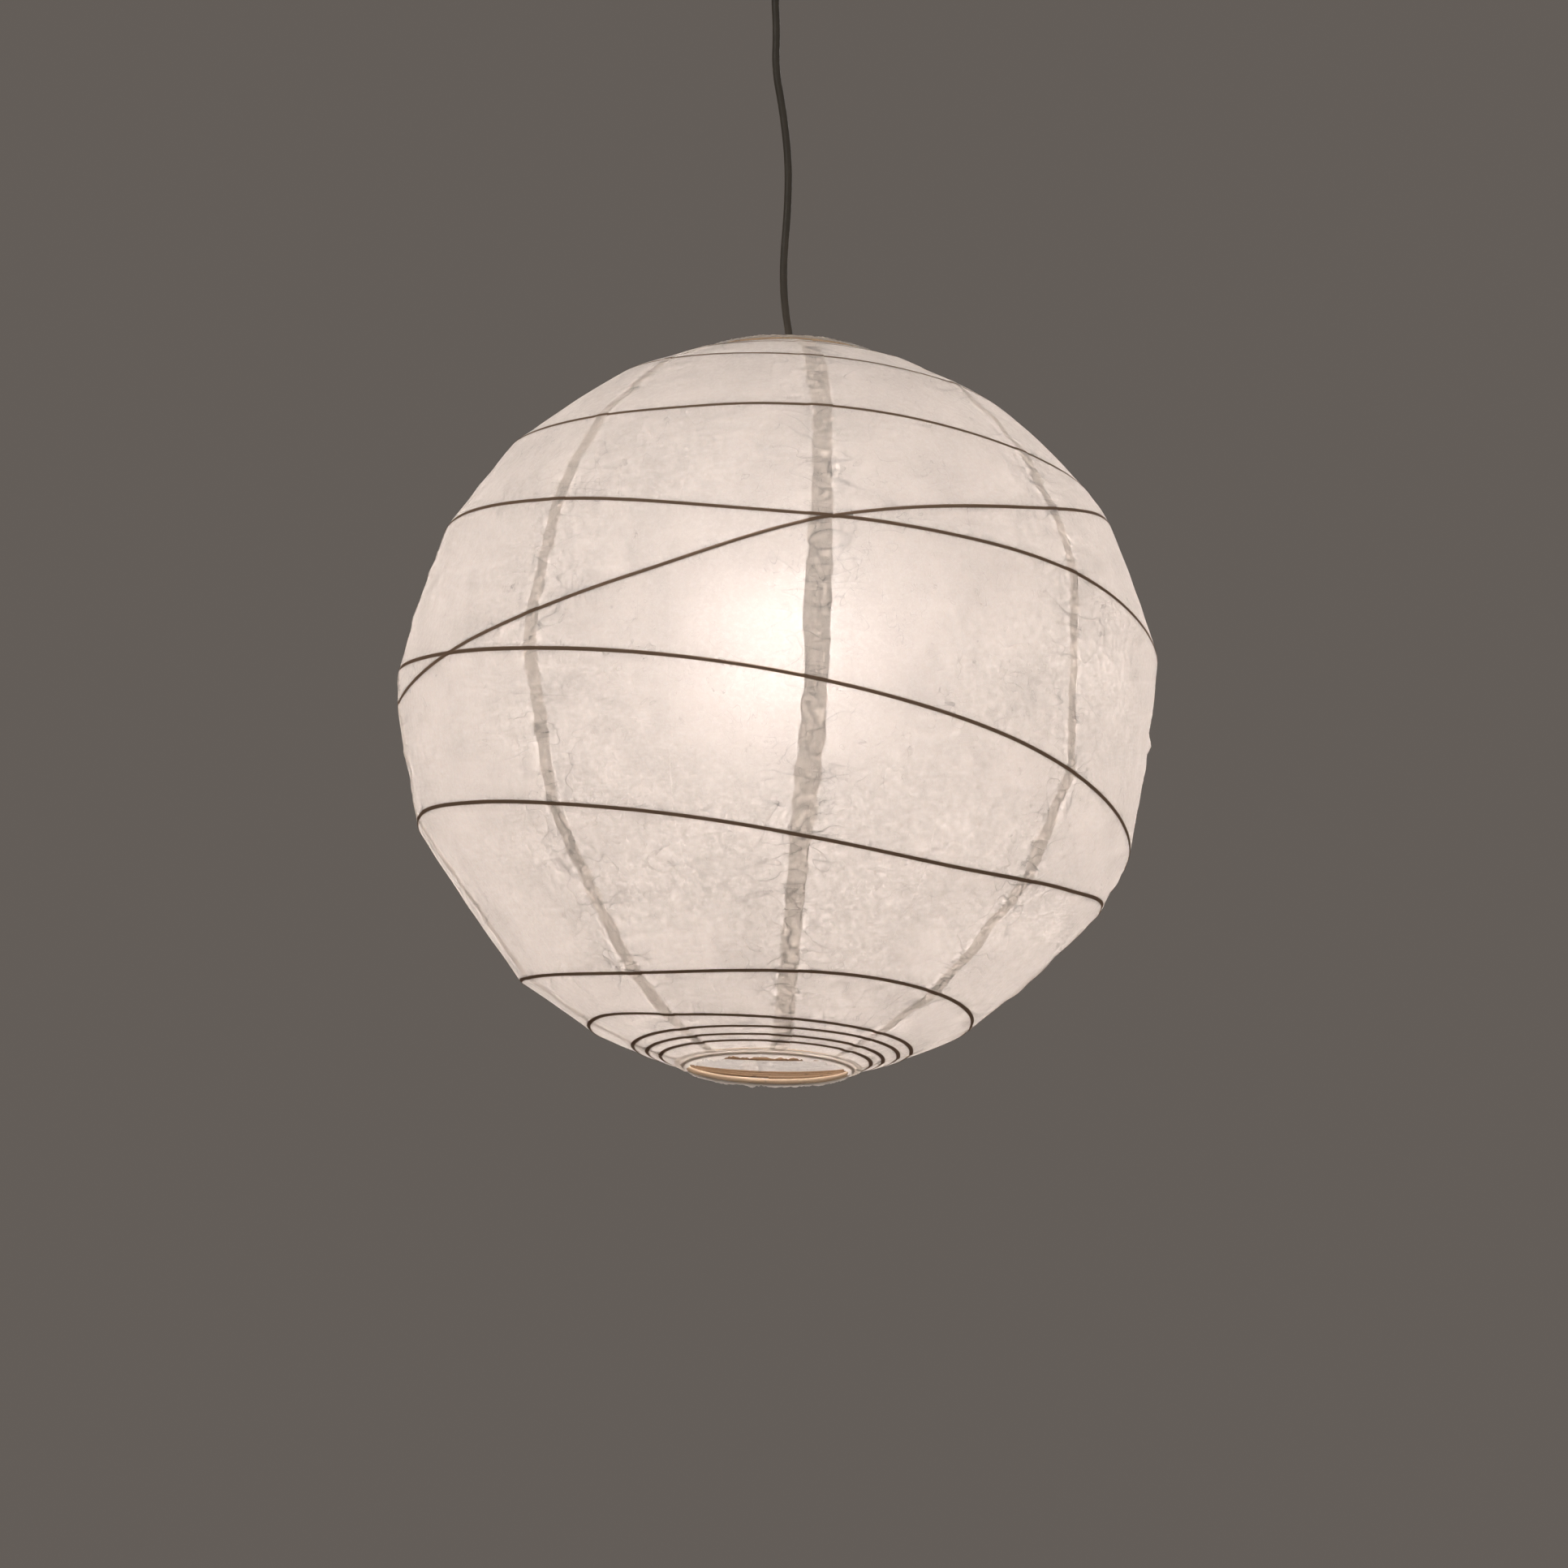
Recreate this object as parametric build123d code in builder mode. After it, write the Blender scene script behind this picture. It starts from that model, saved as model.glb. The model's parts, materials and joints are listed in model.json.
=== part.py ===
from build123d import *
from math import acos, asin, atan, cos, degrees, exp, pi, radians, sin, sqrt, tan
import os

# Paper lantern: eight lapped washi gores on one long spiral bamboo rib, held open by a wire stretcher
# that hangs on a lampholder. The frame's origin is the middle of the ceiling strap's upper face.
# Heights named _z are in that frame; the shade's own heights are measured from its middle. All that hangs
# is drawn upright, with its axis beside the outlet, and then leans until its weight is under the outlet.

# ---- driving dimensions, millimetres -------------------------------------------------------------
shade_diameter = 600
ring_span = 568          # between the centre lines of the top and bottom rings
mouth_radius = 66        # centre line of both rings
lamp_x = 22              # the shade's axis beside the ceiling cup's axis, from the cord's own lean
shade_middle_z = -669    # before it leans
balance_x = 21.7         # centre of gravity of all that hangs, beside the outlet before it leans
balance_height = 31      # and above the shade's middle

paper = 0.4              # sheet thickness
gore_count = 8
first_seam = 6           # degrees round from the front, towards +X
lap_width = 18
lap_step = 4             # where a gore steps up over its neighbour
glue_gap = 0.15
hem_gap = 0.3
ring_rod = 1.6           # radius
rib_rod = 1.2            # radius
rib_gap = 0.5            # rib to paper
crossing_drop = 2.9      # how far the crossed length of rib passes inside the other

wire = 1.5               # stretcher wire radius
wire_gap = 0.3
leg_inset = 5            # a leg inside the rings' centre line
toe_length = 8.5

cord_radius = 3
core_radius = 1.0
bulb_radius = 30
bulb_length = 107        # tip of the contact to the bottom of the glass
thread_clearance = 0.4
socket_radius = 13.4     # inside of the screw shell
shell_room = 3.7         # between the screw shell's inside and the holder's wall
holder_wall = 2.4
eye_room = 2.5           # between the holder's wall and the stretcher's eye

cup_radius = 50
cup_depth = 62
cup_wall = 2
outlet_radius = 8
grommet_radius = 9.7
pivot_lift = 8           # middle of the grommet above the cup's lower face
swing_limit = 20         # degrees either way
strap_thickness = 2
strap_width = 20
screw_spacing = 56
screw_hole = 2.6         # radius
fold_stack = 45          # ring to ring when the shade is folded flat
print("fold travel", ring_span - fold_stack)

# ---- worked out from them ------------------------------------------------------------------------
half_width = shade_diameter / 2
half_span = ring_span / 2
half_height = half_span / sqrt(1 - (mouth_radius / half_width) ** 2)
pivot_z = pivot_lift - cup_depth
lean = degrees(atan(balance_x / (pivot_z - shade_middle_z - balance_height)))
leg_x = mouth_radius - leg_inset
holder_radius = socket_radius + shell_room + holder_wall
eye_radius = holder_radius + eye_room + wire    # centre line of the stretcher's eye
hem_radius = ring_rod + hem_gap + paper
gore_end = degrees(acos((mouth_radius + hem_radius + hem_gap) / half_width))
axis_of_lamp = Axis((lamp_x, 0, shade_middle_z), (0, 0, 1))
os.makedirs("parts", exist_ok=True)


def save(part, name):
    part.label = name
    export_step(part, f"parts/{name}.step")


def hang(part, name):
    """Leans a piece about the outlet before it is saved."""
    save(part.rotate(Axis((0, 0, pivot_z), (0, 1, 0)), lean), name)


def height(z):
    """A height above the shade's middle, before it leans."""
    return shade_middle_z + z


def level(z):
    """The horizontal plane across the lamp's axis at a height above the shade's middle."""
    return Plane.XY.offset(height(z)).move(Location((lamp_x, 0, 0)))


def side_plane(azimuth):
    """The upright plane through the lamp's axis whose x runs outwards at this azimuth from the front."""
    a = radians(azimuth - 90)
    return Plane(
        origin=(lamp_x, 0, shade_middle_z),
        x_dir=(cos(a), sin(a), 0),
        z_dir=(sin(a), -cos(a), 0),
    )


def seam_plane(azimuth, offset):
    """The plane beside a seam's meridian, offset towards the next seam, which is also its upper side."""
    a = radians(azimuth)
    along = (cos(a), sin(a))
    return Plane(
        origin=(lamp_x + offset * along[0], offset * along[1], shade_middle_z),
        z_dir=(along[0], along[1], 0),
    )


def runs_and_radii(points):
    """The runs between points, and for each corner an arc over 0.45 of its shorter run."""
    runs = [Vector(*q) - Vector(*p) for p, q in zip(points, points[1:])]
    radii = []
    for one, two in zip(runs, runs[1:]):
        half_bend = radians(one.get_angle(two) / 2)
        radii.append(0.45 * min(one.length, two.length) / tan(half_bend))
    return runs, radii


def tube(points, radii, radius):
    """A round rod along straight runs joined by tangent arcs, with its centre line's length."""
    with BuildPart() as rod:
        with BuildLine():
            route = FilletPolyline(*points, radius=radii)
        with BuildSketch(Plane(origin=route @ 0, z_dir=route % 0)):
            Circle(radius)
        sweep(path=route)
    return rod.part, route.length


# ---- paper gores ---------------------------------------------------------------------------------
def paper_strip(inner, outer, seams, offsets):
    """A strip of the shade's wall between two planes beside seams, inner and outer from the mould."""
    reach = degrees(asin((lap_width / 2 + lap_step + 1) / mouth_radius))
    start = seams[0] - reach
    with BuildPart() as strip:
        with BuildSketch(side_plane(start)):
            with BuildLine():
                outside = EllipticalCenterArc(
                    (0, 0), half_width + outer, half_height + outer, -gore_end,
                    arc_size=2 * gore_end,
                )
                inside = EllipticalCenterArc(
                    (0, 0), half_width + inner, half_height + inner, -gore_end,
                    arc_size=2 * gore_end,
                )
                Line(outside @ 0, inside @ 0)
                Line(outside @ 1, inside @ 1)
            make_face()
        revolve(axis=axis_of_lamp, revolution_arc=seams[1] + reach - start)
        split(bisect_by=seam_plane(seams[0], offsets[0]), keep=Keep.TOP)
        split(bisect_by=seam_plane(seams[1], offsets[1]), keep=Keep.BOTTOM)
    return strip.part


def make_gores():
    pitch = 360 / gore_count
    seams = (first_seam, first_seam + pitch)
    half_lap = lap_width / 2
    over = glue_gap + paper
    with BuildPart() as gore:
        add(paper_strip(-paper, 0, seams, (glue_gap - half_lap, -half_lap)))
        add(paper_strip(-paper, over, (seams[1],) * 2, (-half_lap - lap_step, -half_lap)))
        add(paper_strip(glue_gap, over, (seams[1],) * 2, (-half_lap, half_lap)))
    for number in range(gore_count):
        hang(gore.part.rotate(axis_of_lamp, number * pitch), f"paper_gore_{number + 1}")


# ---- the spiral rib ------------------------------------------------------------------------------
# Turns are counted at the front and grow towards +X; heights are above the shade's middle, for a mould
# of the knots' own half height, which a taller or flatter shade stretches.
knots_half_height = 291
rib_knots = [
    (-3.0, 281), (-2.0, 279), (-1.0, 273), (-0.5, 266), (0.0, 250), (0.09, 246),
    (0.45, 218), (0.84, 193), (0.93, 190), (0.99, 192), (1.05, 190), (1.17, 175),
    (1.45, 154), (1.79, 129), (1.89, 114), (1.98, 95), (2.05, 88), (2.14, 76), (2.24, 48),
    (2.5, 12), (2.77, -10), (2.86, 10), (2.94, 43), (3.02, 90), (3.12, 122), (3.22, 148),
    (3.36, 138), (3.5, 105), (3.65, 50), (3.77, 17), (3.87, -4), (3.97, -27), (4.09, -62),
    (4.23, -106), (4.4, -127), (4.6, -110), (4.77, -102), (4.84, -113), (4.93, -134),
    (5.03, -156), (5.1, -164), (5.18, -159), (5.26, -149), (5.45, -164), (5.65, -204),
    (5.79, -228), (5.91, -241), (6.08, -241), (6.3, -249), (6.8, -258), (6.92, -266),
    (7.2, -270), (8.0, -273), (9.0, -277), (10.0, -280), (10.5, -281),
]
rib_splices = [-3.0, -0.5, 0.5, 1.5, 2.5, 3.5, 4.5, 5.5, 6.5, 10.5]
crossings = (2.84, 3.03)      # where the crossed length starts and stops passing inside
points_per_turn = 20


def rib_height(turn):
    """A smooth curve through the knots."""
    last = len(rib_knots) - 1
    k = next((i for i in range(last) if turn < rib_knots[i + 1][0]), last - 1)
    (t1, z1), (t2, z2) = rib_knots[k], rib_knots[k + 1]
    (t0, z0), (t3, z3) = rib_knots[max(k - 1, 0)], rib_knots[min(k + 2, last)]
    span = t2 - t1
    slope1 = (z2 - z0) / (t2 - t0) * span
    slope2 = (z3 - z1) / (t3 - t1) * span
    s = (turn - t1) / span
    blend = (2 * s**3 - 3 * s**2 + 1, s**3 - 2 * s**2 + s, 3 * s**2 - 2 * s**3, s**3 - s**2)
    return blend[0] * z1 + blend[1] * slope1 + blend[2] * z2 + blend[3] * slope2


def rib_point(turn, spread=1.0):
    """A point of the rib's centre line, inside the paper; spread lifts a polygon's corners."""
    depth = paper + rib_gap + rib_rod
    away = max(crossings[0] - turn, turn - crossings[1], 0)
    depth += crossing_drop * exp(-((away / 0.06) ** 2))
    latitude = asin(rib_height(turn) / knots_half_height)
    reach = spread * (half_width - depth) * cos(latitude)
    a = 2 * pi * turn
    return (
        lamp_x + reach * sin(a),
        -reach * cos(a),
        height((half_height - depth) * sin(latitude)),
    )


def make_rib(number, start, stop):
    """One length of split bamboo, as straight runs joined by tangent arcs."""
    step = 1 / points_per_turn
    half_turn = pi * step
    # an arc over nine tenths of two runs stays close to the middle of them
    spread = 2 / (cos(half_turn) + cos(half_turn) * (0.1 + 0.9 / cos(half_turn)))
    count = round((stop - start) / step)
    corners = [rib_point(start + (k - 0.5) * step, spread) for k in range(count + 2)]
    runs, radii = runs_and_radii(corners)
    points = [(Vector(*corners[0]) + runs[0] / 2), *corners[1:-1], Vector(*corners[-1]) - runs[-1] / 2]
    hang(tube(points, radii, rib_rod)[0], f"rib_{number}")


# ---- rings and hems ------------------------------------------------------------------------------
def make_ring(name, side):
    """A bamboo hoop; side is 1 for the top and -1 for the bottom."""
    with BuildPart() as ring:
        with BuildSketch(side_plane(90)):
            with Locations((mouth_radius, side * half_span)):
                Circle(ring_rod)
        revolve(axis=axis_of_lamp)
    hang(ring.part, name)


def make_hem(name, side):
    """The strip of paper that is folded round the outside of a hoop."""
    with BuildPart() as hem:
        with BuildSketch(side_plane(90)):
            with Locations((mouth_radius, side * half_span)):
                Circle(hem_radius)
                Circle(hem_radius - paper, mode=Mode.SUBTRACT)
            with Locations((mouth_radius - hem_radius, side * half_span)):
                Rectangle(2 * hem_radius, 3 * hem_radius, mode=Mode.SUBTRACT)
        revolve(axis=axis_of_lamp)
    hang(hem.part, name)


# ---- wire stretcher ------------------------------------------------------------------------------
toe_height = half_span - hem_radius - wire - wire_gap
shade_ring_top = 106
eye_height = shade_ring_top + wire_gap + wire


def make_leg(name, side):
    """A leg with a toe under the top ring and a toe over the bottom ring."""
    out = leg_x + toe_length
    corners = [(out, toe_height), (leg_x, toe_height), (leg_x, -toe_height), (out, -toe_height)]
    points = [(lamp_x + side * x, 0, height(z)) for x, z in corners]
    hang(tube(points, 2 * wire, wire)[0], name)


def make_stretcher():
    make_leg("stretcher_leg_left", -1)
    make_leg("stretcher_leg_right", 1)
    with BuildPart() as eye:
        with BuildSketch(side_plane(90)):
            with Locations((eye_radius, eye_height)):
                Circle(wire)
        revolve(axis=axis_of_lamp)
    hang(eye.part, "stretcher_eye")
    inner = eye_radius + wire + wire_gap
    outer = leg_x - wire - wire_gap
    with BuildPart() as bars:
        for side in (-1, 1):
            start = lamp_x + side * inner
            with BuildSketch(Plane(origin=(start, 0, height(eye_height)), z_dir=(side, 0, 0))):
                Circle(wire)
            extrude(amount=outer - inner)
    hang(bars.part, "stretcher_crossbars")


# ---- lampholder ----------------------------------------------------------------------------------
holder_top = 172
holder_joint = 137       # cap above, body below
holder_mouth = 97
insert_depth = 11
shade_ring_height = 6
shade_ring_radius = eye_radius + wire + 4
contact_gap = 0.3
insert_bottom = holder_joint - insert_depth
tip_height = insert_bottom - 1
bulb_middle = tip_height - bulb_length + bulb_radius
grip_bottom = 152


def revolved(name, outline):
    """A turned piece from its outline of (radius, height above the shade's middle) points."""
    with BuildPart() as turned:
        with BuildSketch(side_plane(90)):
            with BuildLine():
                Polyline(*outline, close=True)
            make_face()
        revolve(axis=axis_of_lamp)
    hang(turned.part, name)


def make_holder():
    inner = holder_radius - holder_wall
    neck = 9
    bore = cord_radius + 0.2
    with BuildPart() as cap:
        with BuildSketch(side_plane(90)):
            with BuildLine():
                Polyline(
                    (bore, holder_top), (neck, holder_top), (neck, grip_bottom + 4),
                    (holder_radius, holder_joint + 6), (holder_radius, holder_joint),
                    (inner, holder_joint), (inner, holder_joint + 5), (neck - 2.5, grip_bottom),
                    (bore, grip_bottom), close=True,
                )
            make_face()
        revolve(axis=axis_of_lamp)
        with BuildSketch(Plane(origin=(lamp_x, 0, height(164)), z_dir=(0, -1, 0))):
            Circle(1.5)
        extrude(amount=neck + 1, mode=Mode.SUBTRACT)
    hang(cap.part, "holder_cap")

    with BuildPart() as screw:
        with BuildSketch(Plane(origin=(lamp_x, -bore, height(164)), z_dir=(0, -1, 0))):
            Circle(1.4)
        extrude(amount=neck - bore - 0.5)
        with BuildSketch(Plane(origin=(lamp_x, -neck + 0.5, height(164)), z_dir=(0, -1, 0))):
            Circle(1.4)
            Rectangle(0.5, 2.0, mode=Mode.SUBTRACT)
        extrude(amount=0.7)
    hang(screw.part, "holder_grip_screw")

    shoulder = eye_height + wire + wire_gap
    ledge = socket_radius + 1
    revolved("holder_body", [
        (inner, holder_joint), (holder_radius, holder_joint), (holder_radius, shoulder + 4),
        (eye_radius + 0.5, shoulder + 2.4), (eye_radius + 0.5, shoulder), (holder_radius, shoulder),
        (holder_radius, holder_mouth), (inner, holder_mouth), (inner, insert_bottom - 3),
        (ledge, insert_bottom - 3), (ledge, insert_bottom), (inner, insert_bottom),
    ])
    revolved("shade_ring", [
        (holder_radius + 0.2, shade_ring_top - shade_ring_height),
        (shade_ring_radius - 1.5, shade_ring_top - shade_ring_height),
        (shade_ring_radius, shade_ring_top - shade_ring_height + 1.5),
        (shade_ring_radius, shade_ring_top), (holder_radius + 0.2, shade_ring_top),
    ])
    shell_wall = 0.4
    revolved("holder_screw_shell", [
        (socket_radius, holder_mouth + 2), (socket_radius + shell_wall, holder_mouth + 2),
        (socket_radius + shell_wall, insert_bottom), (4, insert_bottom),
        (4, insert_bottom - shell_wall), (socket_radius, insert_bottom - shell_wall),
    ])

    terminal_x = 9
    with BuildPart() as insert:
        with BuildSketch(level(insert_bottom)):
            Circle(inner - 0.1)
            Circle(1.6, mode=Mode.SUBTRACT)
            with Locations((-terminal_x, 0), (terminal_x, 0)):
                Circle(1.6, mode=Mode.SUBTRACT)
        extrude(amount=insert_depth)
    hang(insert.part, "holder_insert")

    # a sprung tongue under the insert, riveted through its middle
    tongue_top = insert_bottom - 0.1
    with BuildPart() as contact:
        with BuildSketch(level(tip_height + contact_gap)):
            Circle(3)
        extrude(amount=tongue_top - tip_height - contact_gap)
        with BuildSketch(level(tongue_top)):
            Circle(1.5)
        extrude(amount=insert_depth + 1)
    hang(contact.part, "holder_contact")

    with BuildPart() as terminals:
        for side in (-1, 1):
            place = level(insert_bottom + 4).move(Location((side * terminal_x, 0, 0)))
            with BuildSketch(place):
                Circle(1.5)
            extrude(amount=insert_depth - 4)
            with BuildSketch(place.offset(insert_depth - 4)):
                Circle(2.8)
                Rectangle(6, 0.6, mode=Mode.SUBTRACT)
            extrude(amount=1.8)
    hang(terminals.part, "holder_terminals")

    with BuildPart() as cores:
        for side in (-1, 1):
            points = [
                (lamp_x + side * 1.4, 0, height(grip_bottom - 0.05)),
                (lamp_x + side * 1.4, 0, height(grip_bottom - 3.5)),
                (lamp_x + side * terminal_x, 0, height(holder_joint + 5)),
                (lamp_x + side * terminal_x, 0, height(holder_joint + 1.85)),
            ]
            add(tube(points, 2, core_radius)[0])
    hang(cores.part, "holder_cores")


# ---- bulb ----------------------------------------------------------------------------------------
def make_bulb():
    cap_radius = socket_radius - thread_clearance
    cap_bottom = tip_height - 27
    skirt = tip_height - 5
    cap_wall = 0.4
    revolved("bulb_contact", [
        (0, tip_height), (2.2, tip_height - 0.3), (3.2, tip_height - 1), (3.2, tip_height - 1.8),
        (0, tip_height - 1.8),
    ])
    revolved("bulb_insulator", [
        (0, tip_height - 1.9), (5.5, tip_height - 1.9), (cap_radius - 3, skirt + 0.6),
        (cap_radius - 3, skirt - 2), (0, skirt - 2),
    ])
    revolved("bulb_cap", [
        (cap_radius - 2.9, skirt + 0.4), (cap_radius - 0.6, skirt - 1.5),
        (cap_radius, skirt - 3), (cap_radius, cap_bottom), (cap_radius - cap_wall, cap_bottom),
        (cap_radius - cap_wall, skirt - 3.2), (cap_radius - 2.9, skirt - 1),
    ])
    glass = 1.0
    neck_radius = cap_radius - cap_wall - 0.1
    neck_top = cap_bottom + 4
    with BuildPart() as globe:
        with BuildSketch(side_plane(90)):
            with BuildLine():
                neck = Line((neck_radius, neck_top), (neck_radius, cap_bottom - 2))
                round_part = CenterArc((0, bulb_middle), bulb_radius, -90, 105)
                Spline(neck @ 1, round_part @ 1, tangents=((0, -1), (round_part % 1) * -1))
                inner_round = CenterArc((0, bulb_middle), bulb_radius - glass, -90, 105)
                inner_neck = Line(
                    (neck_radius - glass, neck_top), (neck_radius - glass, cap_bottom - 2)
                )
                Spline(inner_neck @ 1, inner_round @ 1,
                       tangents=((0, -1), (inner_round % 1) * -1))
                Line(neck @ 0, inner_neck @ 0)
                Line(round_part @ 0, inner_round @ 0)
            make_face()
        revolve(axis=axis_of_lamp)
    hang(globe.part, "bulb_globe")
    board = neck_radius - glass - 0.2
    revolved("bulb_led_mast", [
        (0, skirt - 2.2), (7, skirt - 2.2), (7, cap_bottom + 6), (board, cap_bottom + 6),
        (board, cap_bottom + 1), (4, cap_bottom + 1), (4, bulb_middle + 4),
        (9, bulb_middle + 4), (9, bulb_middle + 1), (0, bulb_middle + 1),
    ])


# ---- ceiling fitting -----------------------------------------------------------------------------
ear_depth = 16
ear_screw_z = -9
anchor_size = (20, 16)
anchor_bottom = -26
anchor_floor = -13       # underside of the space where the cores leave the sheath
anchor_screw_y = 6.2
terminal_span = (11.5, 23.5)     # clear of the ceiling screw's head


def make_strap():
    outer = sqrt((cup_radius - cup_wall - 0.3) ** 2 - (strap_width / 2) ** 2)
    with BuildPart() as strap:
        with BuildSketch(Plane.XY):
            Rectangle(2 * outer, strap_width)
            with Locations((-screw_spacing / 2, 0), (screw_spacing / 2, 0)):
                Circle(screw_hole, mode=Mode.SUBTRACT)
            with Locations((0, -anchor_screw_y), (0, anchor_screw_y)):
                Circle(1.25, mode=Mode.SUBTRACT)
        extrude(amount=-strap_thickness)
        for side in (-1, 1):
            with BuildSketch(Plane(origin=(side * outer, 0, 0), z_dir=(-side, 0, 0), x_dir=(0, 1, 0))):
                with Locations((0, -ear_depth / 2 if side < 0 else ear_depth / 2)):
                    Rectangle(strap_width / 2, ear_depth)
                with Locations((0, ear_screw_z if side < 0 else -ear_screw_z)):
                    Circle(1.45, mode=Mode.SUBTRACT)
            extrude(amount=strap_thickness)
    save(strap.part, "ceiling_strap")


def make_cup():
    round_edge = 8
    with BuildPart() as cup:
        with BuildSketch(Plane.XZ):
            with BuildLine():
                wall = Line((cup_radius, -0.3), (cup_radius, round_edge - cup_depth))
                corner = RadiusArc(wall @ 1, (cup_radius - round_edge, -cup_depth), round_edge)
                floor_line = Line(corner @ 1, (outlet_radius, -cup_depth))
                lip = Line(floor_line @ 1, (outlet_radius, cup_wall - cup_depth))
                inner_floor = Line(lip @ 1, (cup_radius - round_edge, cup_wall - cup_depth))
                inner_corner = RadiusArc(
                    inner_floor @ 1, (cup_radius - cup_wall, round_edge - cup_depth),
                    cup_wall - round_edge,
                )
                inner_wall = Line(inner_corner @ 1, (cup_radius - cup_wall, -0.3))
                Line(inner_wall @ 1, wall @ 0)
            make_face()
        revolve(axis=Axis.Z)
        with BuildSketch(Plane.YZ.offset(-cup_radius - 1)):
            with Locations((0, ear_screw_z)):
                Circle(1.7)
        extrude(amount=2 * cup_radius + 2, mode=Mode.SUBTRACT)
    save(cup.part, "ceiling_cup")

    with BuildPart() as screws:
        for side in (-1, 1):
            seat = Plane(origin=(side * cup_radius, 0, ear_screw_z), z_dir=(side, 0, 0))
            with BuildSketch(seat.offset(0.05)):
                Circle(3.2)
            extrude(amount=1.8, taper=8)
            with BuildSketch(seat.offset(0.05)):
                Circle(1.4)
            extrude(amount=-7)
            with BuildSketch(seat.offset(1.05)):
                Rectangle(0.7, 7)
            extrude(amount=1, mode=Mode.SUBTRACT)
    save(screws.part, "cup_screws")


def make_anchor():
    with BuildPart() as anchor:
        with BuildSketch(Plane.XY.offset(anchor_bottom)):
            Rectangle(*anchor_size)
            Circle(cord_radius + 0.05, mode=Mode.SUBTRACT)
            with Locations((0, -anchor_screw_y), (0, anchor_screw_y)):
                Circle(1.3, mode=Mode.SUBTRACT)
        extrude(amount=-strap_thickness - anchor_bottom)
        with BuildSketch(Plane.XY.offset(anchor_floor)):
            Rectangle(anchor_size[0] + 2, 8.6)
        extrude(amount=-strap_thickness - anchor_floor, mode=Mode.SUBTRACT)
    save(anchor.part, "cord_anchor")

    with BuildPart() as screws:
        with BuildSketch(Plane.XY.offset(anchor_bottom)):
            with Locations((0, -anchor_screw_y), (0, anchor_screw_y)):
                Circle(2.6)
                Rectangle(6, 0.6, mode=Mode.SUBTRACT)
        extrude(amount=-1.6)
        with BuildSketch(Plane.XY.offset(anchor_bottom)):
            with Locations((0, -anchor_screw_y), (0, anchor_screw_y)):
                Circle(1.2)
        extrude(amount=-anchor_bottom - 0.5)
    save(screws.part, "anchor_screws")

    # a ball of rubber with an hourglass bore, which lets the cord lean any way at the outlet
    flat = grommet_radius * 0.67
    waist = cord_radius + 0.4
    flare = waist + flat * tan(radians(swing_limit + 2))
    edge = sqrt(grommet_radius**2 - flat**2)
    with BuildPart() as grommet:
        with BuildSketch(Plane.XZ):
            with BuildLine():
                upper = Line((waist, pivot_z), (flare, pivot_z + flat))
                top = Line(upper @ 1, (edge, pivot_z + flat))
                ball = ThreePointArc(top @ 1, (grommet_radius, pivot_z), (edge, pivot_z - flat))
                bottom = Line(ball @ 1, (flare, pivot_z - flat))
                Line(bottom @ 1, upper @ 0)
            make_face()
        revolve(axis=Axis.Z)
    save(grommet.part, "outlet_grommet")


def make_supply():
    core_height = -8
    hole_y = 3.2
    screw_xs = (terminal_span[0] + 3, terminal_span[1] - 3)
    with BuildPart() as block:
        width = terminal_span[1] - terminal_span[0]
        with BuildSketch(Plane.YZ.offset(terminal_span[0])):
            with Locations((0, core_height)):
                RectangleRounded(18, 11.6, 1.5)
                with Locations((-hole_y, 0), (hole_y, 0)):
                    Circle(1.6, mode=Mode.SUBTRACT)
        extrude(amount=width)
        with BuildSketch(Plane.XY.offset(core_height - 6)):
            for x in screw_xs:
                with Locations((x, -hole_y), (x, hole_y)):
                    Circle(1.55)
        extrude(amount=4.9, mode=Mode.SUBTRACT)
    save(block.part, "terminal_block")
    with BuildPart() as screws:
        with BuildSketch(Plane.XY.offset(core_height - 5.9)):
            for x in screw_xs:
                with Locations((x, -hole_y), (x, hole_y)):
                    Circle(1.45)
                    Rectangle(3.2, 0.5, mode=Mode.SUBTRACT)
        extrude(amount=1)
        with BuildSketch(Plane.XY.offset(core_height - 4.9)):
            for x in screw_xs:
                with Locations((x, -hole_y), (x, hole_y)):
                    Circle(1.45)
        extrude(amount=3.7)
    save(screws.part, "terminal_screws")

    with BuildPart() as cores:
        for side in (-1, 1):
            points = [
                (0, side * 1.4, anchor_floor + 0.45), (0, side * 1.4, core_height),
                (8, side * hole_y, core_height), (terminal_span[0] + 6, side * hole_y, core_height),
            ]
            add(tube(points, 2, core_radius)[0])
    save(cores.part, "supply_cores")

    tail_bottom = pivot_z + cord_radius + 0.1
    with BuildPart() as tail:
        with BuildSketch(Plane.XY.offset(tail_bottom)):
            Circle(cord_radius)
        extrude(amount=anchor_floor + 0.4 - tail_bottom)
    save(tail.part, "cord_tail")


# ---- hanging cord --------------------------------------------------------------------------------
# From the outlet down to the lampholder: beside the lamp's axis, front to back, above the middle.
cord_route = [
    (-22, 0, 615), (-22.2, 0.5, 585), (-19.5, 0, 553), (-19.8, -1, 522), (-12.5, 0, 488),
    (-6.6, 1.5, 446), (-6.2, 0.5, 405), (-8.4, -1, 364), (-6.8, 0, 331), (-0.2, 1, 296),
    (1, 0.5, 252), (0, 0, 208), (0, 0.2, 172), (0, 0, 152),
]


def make_cord():
    points = [(lamp_x + x, y, height(z)) for x, y, z in cord_route]
    points[0] = (0, 0, pivot_z)
    radii = runs_and_radii(points)[1]
    print("cord radii", [round(r) for r in radii])
    sheath, length = tube(points, radii, cord_radius)
    print("cord length", round(length, 1), "tube volume over section times length",
          round(sheath.volume / (pi * cord_radius**2 * length), 5))
    with BuildPart() as cord:
        add(sheath)
        with Locations(points[0]):
            Sphere(cord_radius)
    hang(cord.part, "cord")


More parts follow.
